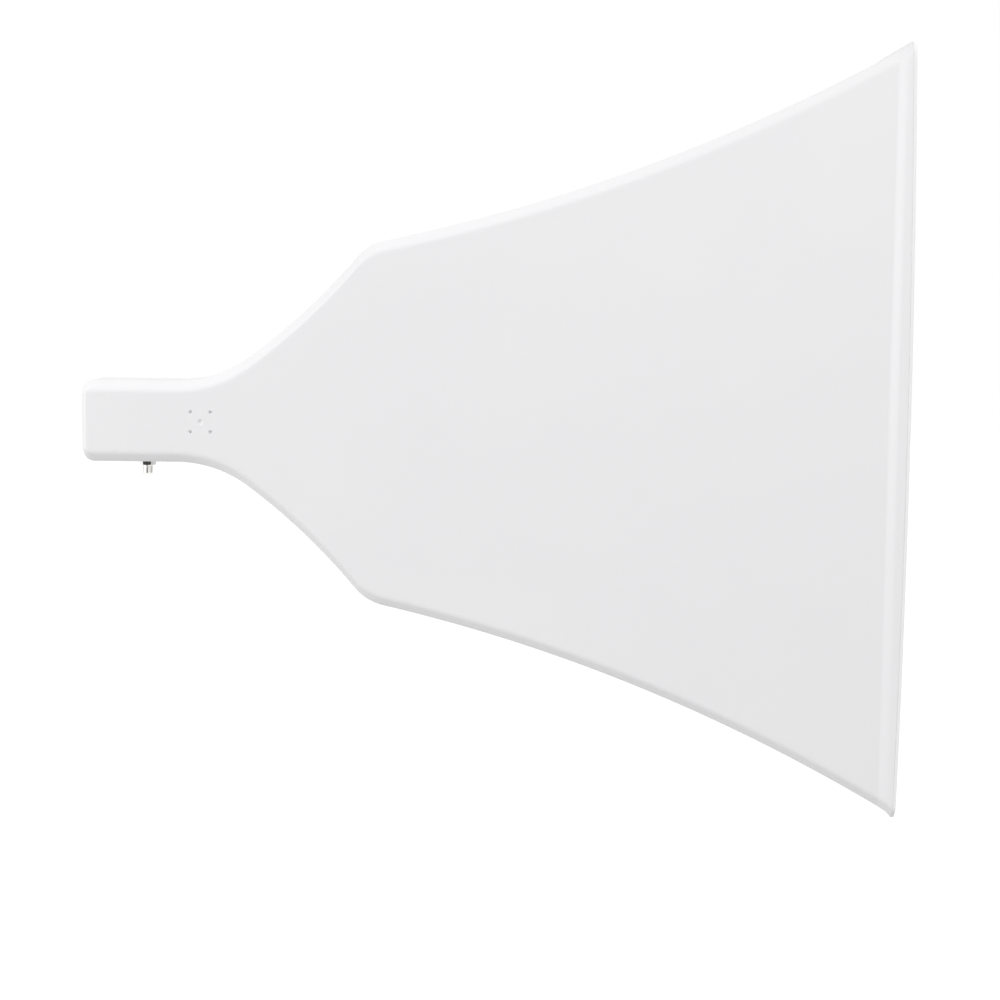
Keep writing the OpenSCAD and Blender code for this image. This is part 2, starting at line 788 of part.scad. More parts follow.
module arm_screw_washers() {
    color("silver") translate([0, foot_t - pad_y, 0]) at_grid(foot_screw_w, foot_screw_h)
        along_y() washer(screw_d);
}

// Plain washer, twice as wide as its screw
module washer(d) {
    difference() {
        cylinder(h = washer_t, d = 2 * d);
        translate([0, 0, -OVERCUT]) cylinder(h = washer_t + 2 * OVERCUT, d = d + 2 * screw_play);
    }
}

module clamp_bolts() {
    grip = 2 * ear_y + washer_t + clamp_nut_t;
    color("silver") translate([0, -ear_y, 0]) at_grid(bolt_span, bolt_rise) along_y() {
        translate([0, 0, -bolt_head_t]) hex_head(bolt_af, bolt_head_t);
        translate([0, 0, -EPS]) cylinder(h = grip + bolt_d / 2, d = bolt_d);
    }
}

module clamp_bolt_washers() {
    color("silver") translate([0, ear_y, 0]) at_grid(bolt_span, bolt_rise) along_y()
        washer(bolt_d);
}

module clamp_nuts() {
    color("silver") translate([0, ear_y + washer_t, 0]) at_grid(bolt_span, bolt_rise)
        along_y() hex_nut(bolt_af, clamp_nut_t, bolt_d);
}

housing();
back_cover();
radome();
radome_gasket();
feed_casting();
horn_top_sheet();
horn_bottom_sheet();
horn_near_sheet();
horn_far_sheet();
lower_port_barrel();
lower_port_insulator();
lower_port_probe();
lower_port_seal();
lower_port_lock_washer();
lower_port_nut();
side_port_barrel();
side_port_insulator();
side_port_probe();
side_port_seal();
side_port_lock_washer();
side_port_nut();
pad_inserts();
mount_arm();
arm_screws();
arm_screw_washers();
clamp_jaw();
clamp_bolts();
clamp_bolt_washers();
clamp_nuts();
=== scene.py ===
"""Studio scene of a tall, narrow horn antenna with its pole clamp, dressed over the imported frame."""
import itertools
import math

import bmesh
import bpy
from mathutils import Matrix, Vector


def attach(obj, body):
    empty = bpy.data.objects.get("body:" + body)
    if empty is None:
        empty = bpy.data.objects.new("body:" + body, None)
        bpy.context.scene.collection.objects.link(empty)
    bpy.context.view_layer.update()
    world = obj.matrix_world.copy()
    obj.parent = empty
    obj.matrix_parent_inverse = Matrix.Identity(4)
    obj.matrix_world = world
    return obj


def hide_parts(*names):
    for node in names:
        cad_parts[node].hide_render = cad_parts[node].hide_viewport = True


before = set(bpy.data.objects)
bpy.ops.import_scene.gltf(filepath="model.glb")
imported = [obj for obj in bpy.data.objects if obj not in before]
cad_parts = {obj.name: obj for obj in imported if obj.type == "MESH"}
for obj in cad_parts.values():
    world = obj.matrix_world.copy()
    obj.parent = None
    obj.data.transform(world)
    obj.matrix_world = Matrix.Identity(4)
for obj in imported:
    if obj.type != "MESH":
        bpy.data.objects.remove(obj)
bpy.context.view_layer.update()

MM = 0.001
SIGNS = (-1, 1)
ROOT = "root"

# ---- The horn's shape: lengths in metres and slopes in radians, as in the CAD source ----

# Places of the two ports and of the pole
LOWER_PORT_X = 34 * MM
SIDE_PORT_X = 67 * MM
POLE_OFFSET = 145 * MM
POLE_FROM_REAR = 231 * MM

# Side view: neck, throat, first stage, shoulder and second stage
HORN_LEN = 460 * MM
NECK_H = 46 * MM
NECK_LEN = 53 * MM
THROAT_R = 68 * MM
THROAT_SLOPE = math.radians(36.4)
FIRST_R = 358 * MM
FIRST_SLOPE = math.radians(49.8)
SHOULDER_R = 30 * MM
SECOND_SLOPE = math.radians(12.2)
MOUTH_SLOPE = math.radians(29.6)

# Plan
NECK_W = 46 * MM
MOUTH_W = 130 * MM
PLAN_START = 82 * MM

# Walls, long edges and rear end
WALL = 2.5 * MM
EDGE_TOP_R = 3.2 * MM
EDGE_SIDE_R = 4.5 * MM
EDGE_FLAT = 2.8 * MM
EDGE_ANGLE = math.radians(45)
REAR_SIDE_R = 6.3 * MM
REAR_PLAN_R = 3 * MM
SEAM_DEPTH = 11 * MM
SEAM_GROOVE = 0.25 * MM

# Mouth
RIM_STEP = 2 * MM
RIM_LEN = 7 * MM
BEVEL_LEN = 4.4 * MM
BEVEL_SOFT = 1.1 * MM
SOFT_SHARE = 0.6
CROWN = 2.5 * MM
RADOME_T = 1.5 * MM
GASKET_T = 0.3 * MM

HALF_H = NECK_H / 2
HALF_W = NECK_W / 2
FRONT_X = HORN_LEN - RADOME_T - GASKET_T
RIM_X = HORN_LEN - RIM_LEN
BEVEL_X = RIM_X - BEVEL_LEN
HORN_FRAME = Matrix.Translation((-POLE_FROM_REAR, -POLE_OFFSET, 0))


def arc_end(start, radius, slope):
    """End (x, half height, slope) of a tangent arc from start to where the slope is reached."""
    x, h, a = start
    return (x + radius * (math.sin(slope) - math.sin(a)),
            h + radius * (math.cos(a) - math.cos(slope)), slope)


NECK_END = (NECK_LEN, HALF_H, 0.0)
THROAT_END = arc_end(NECK_END, THROAT_R, THROAT_SLOPE)
FIRST_END = arc_end(THROAT_END, FIRST_R, FIRST_SLOPE)
SHOULDER_END = arc_end(FIRST_END, -SHOULDER_R, SECOND_SLOPE)
SECOND_R = (HORN_LEN - SHOULDER_END[0]) / (math.sin(MOUTH_SLOPE) - math.sin(SECOND_SLOPE))
ARCS = [(NECK_END, THROAT_R), (THROAT_END, FIRST_R), (FIRST_END, -SHOULDER_R),
        (SHOULDER_END, SECOND_R)]


def profile(x):
    """Half height and slope of the side view's outline at x from the rear end."""
    if x <= NECK_LEN:
        return HALF_H, 0.0
    start, radius = [arc for arc in ARCS if arc[0][0] <= x][-1]
    slope = math.asin(math.sin(start[2]) + (x - start[0]) / radius)
    return start[1] + radius * (math.cos(start[2]) - math.cos(slope)), slope


MOUTH_HALF_H = profile(FRONT_X)[0]
PLAN_RISE = MOUTH_W / 2 - HALF_W
PLAN_R = ((HORN_LEN - PLAN_START) ** 2 + PLAN_RISE ** 2) / (2 * PLAN_RISE)


def plan(x):
    """Half width and slope in plan at x, without the rim."""
    slope = math.asin(max(0.0, x - PLAN_START) / PLAN_R)
    return HALF_W + PLAN_R * (1 - math.cos(slope)), slope


def smooth_ramp(t):
    """Rises from 0 to 1 with level ends."""
    t = min(1.0, max(0.0, t))
    return t * t * (3 - 2 * t)


def rim_out(x):
    """How far the rim stands out of the side wall, with softened edges on its bevel."""
    t = (x - BEVEL_X + BEVEL_SOFT) / (BEVEL_LEN + 2 * BEVEL_SOFT)
    straight = min(1.0, max(0.0, (x - BEVEL_X) / BEVEL_LEN))
    return RIM_STEP * (smooth_ramp(t) * SOFT_SHARE + straight * (1 - SOFT_SHARE))


def end_inset(x, radius):
    """How far the rear end's rounding takes the surface in at x."""
    return radius - math.sqrt(radius ** 2 - (radius - x) ** 2) if x < radius else 0.0


def bow(z):
    """How far the mouth's front falls back at height z."""
    return CROWN * (z / MOUTH_HALF_H) ** 2


# ---- Mesh helpers ----

SHARP_ANGLE = math.radians(32)
WELD = 1e-7


def add_object(name, data):
    """A new object in the scene."""
    obj = bpy.data.objects.new(name, data)
    bpy.context.scene.collection.objects.link(obj)
    return obj


def smooth(obj):
    """Smooth shading, broken at the sharp edges."""
    for face in obj.data.polygons:
        face.use_smooth = True
    obj.data.set_sharp_from_angle(angle=SHARP_ANGLE)


def piece(name, mesh, material):
    """A new visible piece that rides on the root body."""
    obj = add_object(name, mesh)
    mesh.materials.append(material)
    smooth(obj)
    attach(obj, ROOT)
    return obj


def spread(start, end, count):
    """Evenly spaced values from start up to, but not at, end."""
    return [start + (end - start) * i / count for i in range(count)]


def grid_faces(bm, rows, flip=False):
    """Faces between open rows of equally many points."""
    for low, high in zip(rows, rows[1:]):
        for j in range(len(low) - 1):
            quad = [low[j], low[j + 1], high[j + 1], high[j]]
            bm.faces.new(quad[::-1] if flip else quad)


def band_faces(bm, rings):
    """Faces between closed rings of equally many points."""
    for low, high in zip(rings, rings[1:]):
        for k in range(len(low)):
            after = (k + 1) % len(low)
            bm.faces.new([low[k], low[after], high[after], high[k]])


def mesh_from(bm, name, matrix=None):
    """Welds the bmesh, turns its faces outwards, moves it by the matrix and makes a mesh of it."""
    bmesh.ops.remove_doubles(bm, verts=bm.verts, dist=WELD)
    bmesh.ops.recalc_face_normals(bm, faces=bm.faces)
    if matrix is not None:
        bmesh.ops.transform(bm, matrix=matrix, verts=bm.verts)
    mesh = bpy.data.meshes.new(name)
    bm.to_mesh(mesh)
    bm.free()
    return mesh


def cut(obj, cutter_bm):
    """Takes the cutter's volume out of obj."""
    cutter = add_object("cutter", mesh_from(cutter_bm, "cutter"))
    modifier = obj.modifiers.new("cut", "BOOLEAN")
    modifier.object = cutter
    modifier.operation = "DIFFERENCE"
    modifier.solver = "EXACT"
    bpy.context.view_layer.update()
    graph = bpy.context.evaluated_depsgraph_get()
    result = bpy.data.meshes.new_from_object(obj.evaluated_get(graph))
    obj.modifiers.remove(modifier)
    obj.data = result
    bpy.data.objects.remove(cutter)


def lathe(bm, outline, matrix, segments=48):
    """Solid of revolution about +z through (radius, z) points that start and end on the axis, or that
    close on themselves. A radius may be a function of the angle."""
    angles = [2 * math.pi * k / segments for k in range(segments)]
    rings = []
    for radius, z in outline:
        if radius == 0:
            rings.append([bm.verts.new(matrix @ Vector((0, 0, z)))] * segments)
            continue
        radii = [radius(a) if callable(radius) else radius for a in angles]
        rings.append([bm.verts.new(matrix @ Vector((r * math.cos(a), r * math.sin(a), z)))
                      for a, r in zip(angles, radii)])
    for low, high in zip(rings, rings[1:]):
        for k in range(segments):
            after = (k + 1) % segments
            corners = list(dict.fromkeys([low[k], low[after], high[after], high[k]]))
            if len(corners) > 2:
                bm.faces.new(corners)


# Width of a thread's flank, and how far from the crest's middle it ends, as shares of the pitch
FLANK = 1 / 6
ROOT_AT = 5 / 12
ROWS_A_TURN = 8


def thread(start, end, crest, depth, pitch):
    """Rows of a helical thread between two heights, run out over one pitch at both ends."""
    def radius_at(z):
        fade = min(1.0, (z - start) / pitch, (end - z) / pitch)

        def radius(angle):
            phase = (z / pitch - angle / (2 * math.pi)) % 1.0
            ridge = min(1.0, max(0.0, (ROOT_AT - abs(phase - 0.5)) / FLANK))
            return crest - depth * fade * (1 - ridge)
        return radius
    count = int(ROWS_A_TURN * (end - start) / pitch)
    return [(radius_at(z), z) for z in spread(start, end, count)] + [(crest, end)]


def hexagon(across_flats, limit):
    """Radius of a hexagon as a function of the angle, turned down to the limit."""
    def radius(angle):
        turn = (angle + math.pi / 6) % (math.pi / 3) - math.pi / 6
        return min(across_flats / 2 / math.cos(turn), limit)
    return radius


# ---- Housing shells ----

REAR_STEPS = 10
REAR_SUPPORT = 2 * MM
# Each stretch of the horn: where it starts and how many rows of points it has
STRETCHES = [(REAR_SIDE_R + REAR_SUPPORT, 12), (NECK_LEN, 24), (THROAT_END[0], 20),
             (FIRST_END[0], 16), (SHOULDER_END[0], 56), (BEVEL_X - BEVEL_SOFT, 14),
             (RIM_X + BEVEL_SOFT, 3), (FRONT_X, 0)]


def shell_stations():
    """Places of the rows along the horn, close together where its walls bend."""
    stations = [REAR_SIDE_R * (1 - math.cos(math.radians(90 * i / REAR_STEPS)))
                for i in range(REAR_STEPS + 1)]
    for (start, rows), (end, _) in zip(STRETCHES, STRETCHES[1:]):
        stations += spread(start, end, rows)
    return stations + [FRONT_X]


EDGE_STEPS = 6
WALL_ROWS = 12
WALL_SUPPORT = 0.6 * MM


def edge(depth=0.0, scale=1.0):
    """Radii and flat of a long edge that lies so deep inside the outer surface."""
    return [(EDGE_TOP_R - depth) * scale, (EDGE_SIDE_R - depth) * scale, EDGE_FLAT * scale]


def side_path(half_h, half_w, sizes, rows=WALL_ROWS):
    """Outline (y, z) from the top wall's end, round the side wall at +y, to the bottom wall's end."""
    top_r, side_r, flat = sizes
    sine = math.sin(EDGE_ANGLE)
    inward = sine * top_r + flat + (1 - sine) * side_r
    down = (1 - sine) * top_r + flat + sine * side_r
    turns = [i * EDGE_ANGLE / EDGE_STEPS for i in range(EDGE_STEPS + 1)]
    corner = [(half_w - inward + top_r * math.sin(a), half_h - top_r * (1 - math.cos(a)))
              for a in turns]
    corner += [(half_w - side_r * (1 - math.cos(a)), half_h - down + side_r * math.sin(a))
               for a in turns[::-1]]
    reach = half_h - down - WALL_SUPPORT
    wall = [(half_w, reach * (1 - 2 * i / rows)) for i in range(rows + 1)]
    return corner + wall + [(y, -z) for y, z in corner[::-1]]


def ring(x, half_h, half_w, sizes, seam, groove=0.0):
    """Open cross-section at x from the seam, round the side wall at +y, back to the seam. The groove
    takes the seam's outer corner off."""
    lip = [(seam, half_h - groove), (seam + SEAM_GROOVE, half_h)]
    path = lip + side_path(half_h, half_w, sizes) + [(y, -z) for y, z in lip[::-1]]
    return [(front_bowed(x, z), y, z) for y, z in path]


def front_bowed(x, z):
    """Moves a point of the rim back along the bow of the mouth's front."""
    if x <= RIM_X:
        return x
    return RIM_X + (x - RIM_X) * (FRONT_X - bow(z) - RIM_X) / (FRONT_X - RIM_X)


def shell_mesh(name, side):
    """One half of the housing: side is -1 for the deep near half and 1 for the shallow far half."""
    bm = bmesh.new()
    outer_rows = []
    inner_rows = []
    for x in shell_stations():
        half_h, slope = profile(x)
        half_w, turn = plan(x)
        seam = side * (half_w - SEAM_DEPTH)
        side_inset = end_inset(x, REAR_SIDE_R)
        outer_rows.append([bm.verts.new(p) for p in ring(
            x, half_h - side_inset, half_w + rim_out(x) - end_inset(x, REAR_PLAN_R),
            edge(scale=1 - side_inset / (2 * REAR_SIDE_R)), seam, SEAM_GROOVE)])
        if x >= WALL:
            inner_rows.append([bm.verts.new(p) for p in ring(
                x, half_h - WALL / math.cos(slope), half_w - WALL / math.cos(turn),
                edge(WALL), seam)])
    grid_faces(bm, outer_rows)
    grid_faces(bm, inner_rows, flip=True)
    # The rear end, outside and inside, and the mouth's front edge
    bm.faces.new(outer_rows[0][::-1])
    bm.faces.new(inner_rows[0])
    grid_faces(bm, [outer_rows[-1], inner_rows[-1]])
    # The seam along the top and the bottom, then across the rear end's thickness
    first = len(outer_rows) - len(inner_rows)
    for end, flip in ((0, False), (-1, True)):
        edge_out = [row[end] for row in outer_rows[first:]]
        edge_in = [row[end] for row in inner_rows]
        grid_faces(bm, [edge_out, edge_in], flip)
    for low, high in zip(outer_rows[:first], outer_rows[1:first + 1]):
        if high is outer_rows[first]:
            bm.faces.new([low[0], high[0], inner_rows[0][0], inner_rows[0][-1], high[-1],
                          low[-1]])
        else:
            bm.faces.new([low[0], high[0], high[-1], low[-1]])
    mirror = Matrix.Diagonal((1, side, 1, 1))
    return mesh_from(bm, name, HORN_FRAME @ mirror)


DIMPLE_PITCH = 11.2 * MM
DIMPLE_R = 1.35 * MM
DIMPLE_BORE_R = 0.85 * MM
DIMPLE_BORE = 1.5 * MM
BOWL_R = 1.8 * MM
BOWL_DEPTH = 1.1 * MM
BOWL_STEPS = 10


def dimple_cutter():
    """Four countersunk blind bores round a bowl, sunk into the near side of the neck."""
    above = 1 * MM
    bore = [(0, -DIMPLE_BORE), (DIMPLE_BORE_R, -DIMPLE_BORE),
            (DIMPLE_BORE_R, DIMPLE_BORE_R - DIMPLE_R), (DIMPLE_R, 0), (DIMPLE_R, above), (0, above)]
    turns = [math.radians(90 * i / BOWL_STEPS) for i in range(BOWL_STEPS + 1)]
    bowl = [(BOWL_R * math.sin(a), -BOWL_DEPTH * math.cos(a) ** 2) for a in turns]
    bowl += [(BOWL_R, above), (0, above)]
    sites = [(0.0, 0.0, bowl)] + [(sx * DIMPLE_PITCH / 2, sz * DIMPLE_PITCH / 2, bore)
                                  for sx, sz in itertools.product(SIGNS, SIGNS)]
    bm = bmesh.new()
    for dx, dz, outline in sites:
        place = HORN_FRAME @ Matrix.Translation((SIDE_PORT_X + dx, -HALF_W, dz)) \
            @ Matrix.Rotation(math.radians(90), 4, "X")
        lathe(bm, outline, place)
    return bm


# A port's place is the inner face of the square waveguide, with +z outwards along the barrel
LINER_GAP = 1.3 * MM
GUIDE_WALL = 2 * MM
GUIDE_IN = WALL + LINER_GAP + GUIDE_WALL
LOWER_PORT = HORN_FRAME @ Matrix.Translation((LOWER_PORT_X, 0, GUIDE_IN - HALF_H)) \
    @ Matrix.Rotation(math.pi, 4, "X")
SIDE_PORT = HORN_FRAME @ Matrix.Translation((SIDE_PORT_X, HALF_W - GUIDE_IN, 0)) \
    @ Matrix.Rotation(-math.pi / 2, 4, "X")
BARREL_R = 3.1 * MM
BARREL_PLAY = 0.15 * MM
HOLE_R = BARREL_R + BARREL_PLAY
HOLE_FROM = -5 * MM
HOLE_TO = 20 * MM


def hole_cutter(place):
    """Round hole for a port's barrel, along the port's own axis."""
    bm = bmesh.new()
    lathe(bm, [(0, HOLE_FROM), (HOLE_R, HOLE_FROM), (HOLE_R, HOLE_TO), (0, HOLE_TO)], place,
          segments=64)
    return bm


# ---- Materials ----

def add_node(tree, kind, links=(), **settings):
    """A new node of the tree. Each of its links names a socket, and gives another node's output or
    a plain value."""
    made = tree.nodes.new(kind)
    for key, value in settings.items():
        setattr(made, key, value)
    for socket, source in dict(links).items():
        if hasattr(source, "is_output"):
            tree.links.new(source, made.inputs[socket])
        else:
            made.inputs[socket].default_value = source
    return made


class Paint:
    """A node material with one Principled shader, built up step by step."""

    def __init__(self, name, roughness, metallic=0.0):
        self.material = bpy.data.materials.new(name)
        self.material.use_nodes = True
        self.tree = self.material.node_tree
        self.shader = self.tree.nodes["Principled BSDF"]
        self.shader.inputs["Roughness"].default_value = roughness
        self.shader.inputs["Metallic"].default_value = metallic
        self.coords = self.node("ShaderNodeTexCoord").outputs["Object"]
        self.normal = None

    def node(self, kind, links=()):
        """A new node of the material."""
        return add_node(self.tree, kind, links)

    def stretched(self, scale):
        """The object's coordinates, with a scale for each axis."""
        return self.node("ShaderNodeMapping", {"Vector": self.coords, "Scale": scale}).outputs[0]

    def noise(self, scale, detail=2.0, vector=None):
        """Noise from 0 to 1 with so many waves a metre."""
        return self.node("ShaderNodeTexNoise", {
            "Vector": vector or self.coords, "Scale": scale, "Detail": detail}).outputs["Fac"]

    def color(self, value, low, high):
        """Colours the surface from low to high as the value rises through its middle range."""
        ramp = self.node("ShaderNodeValToRGB", {"Fac": value})
        low_stop, high_stop = ramp.color_ramp.elements
        low_stop.position = 0.3
        high_stop.position = 0.7
        low_stop.color = (*low, 1)
        high_stop.color = (*high, 1)
        self.tree.links.new(ramp.outputs["Color"], self.shader.inputs["Base Color"])

    def rough(self, value, low, high):
        """Lets the roughness rise from low to high with the value."""
        spans = self.node("ShaderNodeMapRange", {"Value": value, "To Min": low, "To Max": high})
        self.tree.links.new(spans.outputs[0], self.shader.inputs["Roughness"])

    def bump(self, height, depth, strength=1.0):
        """Adds relief of so many metres on top of the relief so far."""
        links = {"Height": height, "Distance": depth, "Strength": strength}
        if self.normal is not None:
            links["Normal"] = self.normal
        self.normal = self.node("ShaderNodeBump", links).outputs["Normal"]
        self.tree.links.new(self.normal, self.shader.inputs["Normal"])


def moulded_plastic(name, low, high, roughness):
    """White moulded plastic: spark-eroded grain, faint flow and uneven gloss."""
    paint = Paint(name, roughness)
    paint.color(paint.noise(9.0, 3.0), low, high)
    paint.rough(paint.noise(35.0, 4.0), roughness - 0.05, roughness + 0.05)
    paint.bump(paint.noise(260.0, 2.0), 0.02 * MM, 0.5)
    paint.bump(paint.noise(2600.0, 2.0), 0.012 * MM, 0.6)
    return paint.material


def silicone(name):
    """Matte pale sealing rubber."""
    paint = Paint(name, 0.7)
    paint.color(paint.noise(600.0), (0.76, 0.76, 0.76), (0.82, 0.82, 0.82))
    paint.bump(paint.noise(3000.0), 0.02 * MM)
    return paint.material


def rolled_sheet(name, stretch):
    """Mill-finish aluminium with drawn-out rolling lines."""
    paint = Paint(name, 0.32, 1.0)
    lines = paint.noise(900.0, 4.0, paint.stretched(stretch))
    paint.color(lines, (0.62, 0.63, 0.65), (0.80, 0.81, 0.82))
    paint.rough(lines, 0.26, 0.42)
    paint.bump(lines, 0.01 * MM, 0.5)
    return paint.material


def cast_metal(name):
    """Die-cast aluminium: pebbled skin with cloudy tone."""
    paint = Paint(name, 0.5, 1.0)
    paint.color(paint.noise(60.0, 5.0), (0.40, 0.41, 0.42), (0.58, 0.59, 0.60))
    paint.rough(paint.noise(180.0, 3.0), 0.42, 0.62)
    paint.bump(paint.noise(700.0, 3.0), 0.05 * MM, 0.6)
    paint.bump(paint.noise(2500.0, 2.0), 0.02 * MM, 0.5)
    return paint.material


def turned_metal(name, low, high, roughness):
    """Bright turned or plated metal with fine tool marks."""
    paint = Paint(name, roughness, 1.0)
    marks = paint.noise(4000.0, 3.0)
    paint.color(marks, low, high)
    paint.rough(marks, roughness, roughness + 0.1)
    paint.bump(marks, 0.001 * MM, 0.5)
    return paint.material


def stainless(name):
    """Plain stainless steel with a soft blotchy sheen."""
    paint = Paint(name, 0.3, 1.0)
    blotch = paint.noise(300.0, 4.0)
    paint.color(blotch, (0.48, 0.48, 0.47), (0.66, 0.66, 0.65))
    paint.rough(blotch, 0.22, 0.4)
    paint.bump(paint.noise(2500.0), 0.01 * MM, 0.5)
    return paint.material


def milky_insulator(name):
    """Smooth cream-white plastic of a coaxial insulator."""
    paint = Paint(name, 0.4)
    paint.color(paint.noise(400.0), (0.72, 0.71, 0.67), (0.80, 0.79, 0.75))
    paint.bump(paint.noise(2000.0), 0.01 * MM, 0.4)
    return paint.material


SHELL_WHITE = moulded_plastic("housing_white", (0.857, 0.855, 0.868), (0.869, 0.867, 0.878), 0.42)
RADOME_WHITE = moulded_plastic("radome_white", (0.900, 0.900, 0.905), (0.912, 0.912, 0.915), 0.38)
SILICONE = silicone("gasket_pale")
SHEET = rolled_sheet("horn_sheet", (0.05, 1.0, 1.0))
CAST = cast_metal("cast_aluminium")
PORT_METAL = turned_metal("port_nickel", (0.84, 0.83, 0.80), (0.92, 0.91, 0.89), 0.10)
GOLD = turned_metal("contact_gold", (0.80, 0.55, 0.22), (0.86, 0.62, 0.28), 0.2)
INSERT_BRASS = turned_metal("insert_brass", (0.66, 0.48, 0.20), (0.74, 0.56, 0.26), 0.25)
STEEL = stainless("fastener_steel")
INSULATOR = milky_insulator("insulator_white")

# Material of each node that stays in view
NODE_FINISH = {
    "radome_gasket": SILICONE, "feed_casting": CAST,
    "horn_top_sheet": SHEET, "horn_bottom_sheet": SHEET,
    "horn_near_sheet": SHEET, "horn_far_sheet": SHEET,
    "mount_arm": CAST, "clamp_jaw": CAST, "pad_inserts": INSERT_BRASS,
    "arm_screws": STEEL, "arm_screw_washers": STEEL,
    "clamp_bolt_washers": STEEL, "clamp_nuts": STEEL}
PORT_FINISH = {
    "insulator": INSULATOR, "probe": GOLD, "seal": SILICONE, "lock_washer": PORT_METAL,
    "nut": PORT_METAL}
NODE_FINISH.update({f"{port}_port_{part}": material for port in ("lower", "side")
                    for part, material in PORT_FINISH.items()})


def finish_nodes():
    """Gives every node that stays its material and smooth shading."""
    for name, material in NODE_FINISH.items():
        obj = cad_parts[name]
        obj.data.materials.clear()
        obj.data.materials.append(material)
        smooth(obj)


# ---- Housing, cover and radome ----

def make_shells():
    """The two halves of the housing, with the dimples and the holes of the ports."""
    near = piece("housing_shell", shell_mesh("housing_shell", -1), SHELL_WHITE)
    cut(near, dimple_cutter())
    cut(near, hole_cutter(LOWER_PORT))
    smooth(near)
    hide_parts("housing")
    far = piece("cover_shell", shell_mesh("cover_shell", 1), SHELL_WHITE)
    cut(far, hole_cutter(SIDE_PORT))
    smooth(far)
    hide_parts("back_cover")


PAD_W = 84 * MM
PAD_H = 96 * MM
PAD_STAND = 6.5 * MM
PAD_CORNER_R = 7 * MM
PAD_RIB = 3 * MM
PAD_Y = round(POLE_OFFSET - plan(POLE_FROM_REAR + PAD_W / 2)[0] - PAD_STAND, 4)
SCREW_W = 62 * MM
SCREW_H = 74 * MM
INSERT_R = 4.5 * MM
BOSS_R = 7 * MM
BOSS_STEPS = 32
# A cross rib is a wall round a slit of this share of its width, which the arm's foot hides
RIB_SLIT = 0.02
RIB_END_R = 0.4 * MM
SIDE_STEPS = 4


def rounded_rect(width, height, radius, steps=8):
    """Closed outline of a rounded rectangle, with every stretch between its points cut into steps."""
    outline = []
    for quarter, (sx, sz) in enumerate(((1, 1), (-1, 1), (-1, -1), (1, -1))):
        middle = Vector((sx * (width / 2 - radius), sz * (height / 2 - radius)))
        turns = [math.radians(90 * quarter) + math.radians(90 * i / steps)
                 for i in range(steps + 1)]
        outline += [middle + radius * Vector((math.cos(a), math.sin(a))) for a in turns]
    closed = outline + outline[:1]
    return [a.lerp(b, i / SIDE_STEPS) for a, b in zip(closed, closed[1:])
            for i in range(SIDE_STEPS)]


def cover_face(x):
    """y of the back cover's outer face, a little inside it, at row x."""
    return plan(x + POLE_FROM_REAR)[0] - POLE_OFFSET - WALL / 2


def wall_band(bm, outer, inner):
    """Wall between two outlines, from the curved cover to the pad's flat face."""
    rings = [[bm.verts.new((p.x, cover_face(p.x) if low else -PAD_Y, p.y)) for p in outline]
             for outline, low in ((outer, True), (outer, False), (inner, False), (inner, True))]
    band_faces(bm, rings + rings[:1])


def make_pad():
    """Ribbed pad with four bosses between the cover and the arm's foot."""
    bm = bmesh.new()
    wall_band(bm, rounded_rect(PAD_W, PAD_H, PAD_CORNER_R),
              rounded_rect(PAD_W - 2 * PAD_RIB, PAD_H - 2 * PAD_RIB, PAD_CORNER_R - PAD_RIB))
    for width, height in ((PAD_RIB, PAD_H - PAD_RIB), (PAD_W - PAD_RIB, PAD_RIB)):
        wall_band(bm, rounded_rect(width, height, RIB_END_R, 2),
                  rounded_rect(width * RIB_SLIT, height * (1 - RIB_SLIT), RIB_SLIT * MM, 2))
    turns = [2 * math.pi * k / BOSS_STEPS for k in range(BOSS_STEPS)]
    for sx, sz in itertools.product(SIGNS, SIGNS):
        middle = Vector((sx * SCREW_W / 2, sz * SCREW_H / 2))
        outer, inner = [[middle + radius * Vector((math.cos(a), math.sin(a))) for a in turns]
                        for radius in (BOSS_R, INSERT_R)]
        wall_band(bm, outer, inner)
    pad = piece("cover_pad", mesh_from(bm, "cover_pad"), SHELL_WHITE)
    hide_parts("back_cover")


RADOME_EDGE = 0.5 * MM
ROLL_STEPS = 6
RADOME_INSETS = [RADOME_EDGE * (1 - math.cos(math.radians(90 * i / ROLL_STEPS)))
                 for i in range(ROLL_STEPS + 1)] + [1 * MM, 2 * MM]
RADOME_ROWS = 48
RADOME_SKIRT = 0.2 * MM
SKIRT_WIDTH = 0.4 * MM


def roll_fall(inset):
    """How far the radome's rolled edge lies behind its front at an inset from the outline."""
    if inset >= RADOME_EDGE:
        return 0.0
    return RADOME_EDGE * (1 - math.sqrt(max(0.0, 1 - (1 - inset / RADOME_EDGE) ** 2)))


def make_radome():
    """Thin plate with rolled front edges and a small skirt, bowed over its height."""
    bm = bmesh.new()

    def loop(inset, fall):
        right = side_path(MOUTH_HALF_H - inset, MOUTH_W / 2 + RIM_STEP - inset, edge(inset),
                          RADOME_ROWS)
        return [bm.verts.new((HORN_LEN - bow(z) - fall, y, z))
                for y, z in right + [(-y, z) for y, z in right[::-1]]]

    front = [loop(inset, roll_fall(inset)) for inset in RADOME_INSETS]
    skirt = RADOME_T + RADOME_SKIRT
    back = [loop(0.0, skirt), loop(SKIRT_WIDTH, skirt), loop(SKIRT_WIDTH, RADOME_T),
            loop(RADOME_INSETS[-1], RADOME_T)]
    band_faces(bm, front[::-1] + back)
    for plate in (front[-1], back[-1]):
        half = len(plate) // 2
        right, left = plate[:half], plate[half:][::-1]
        for k in range(half - 1):
            bm.faces.new([left[k], left[k + 1], right[k + 1], right[k]])
    radome = piece("radome_plate", mesh_from(bm, "radome_plate", HORN_FRAME), RADOME_WHITE)
    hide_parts("radome")


# ---- Ports and clamp bolts ----

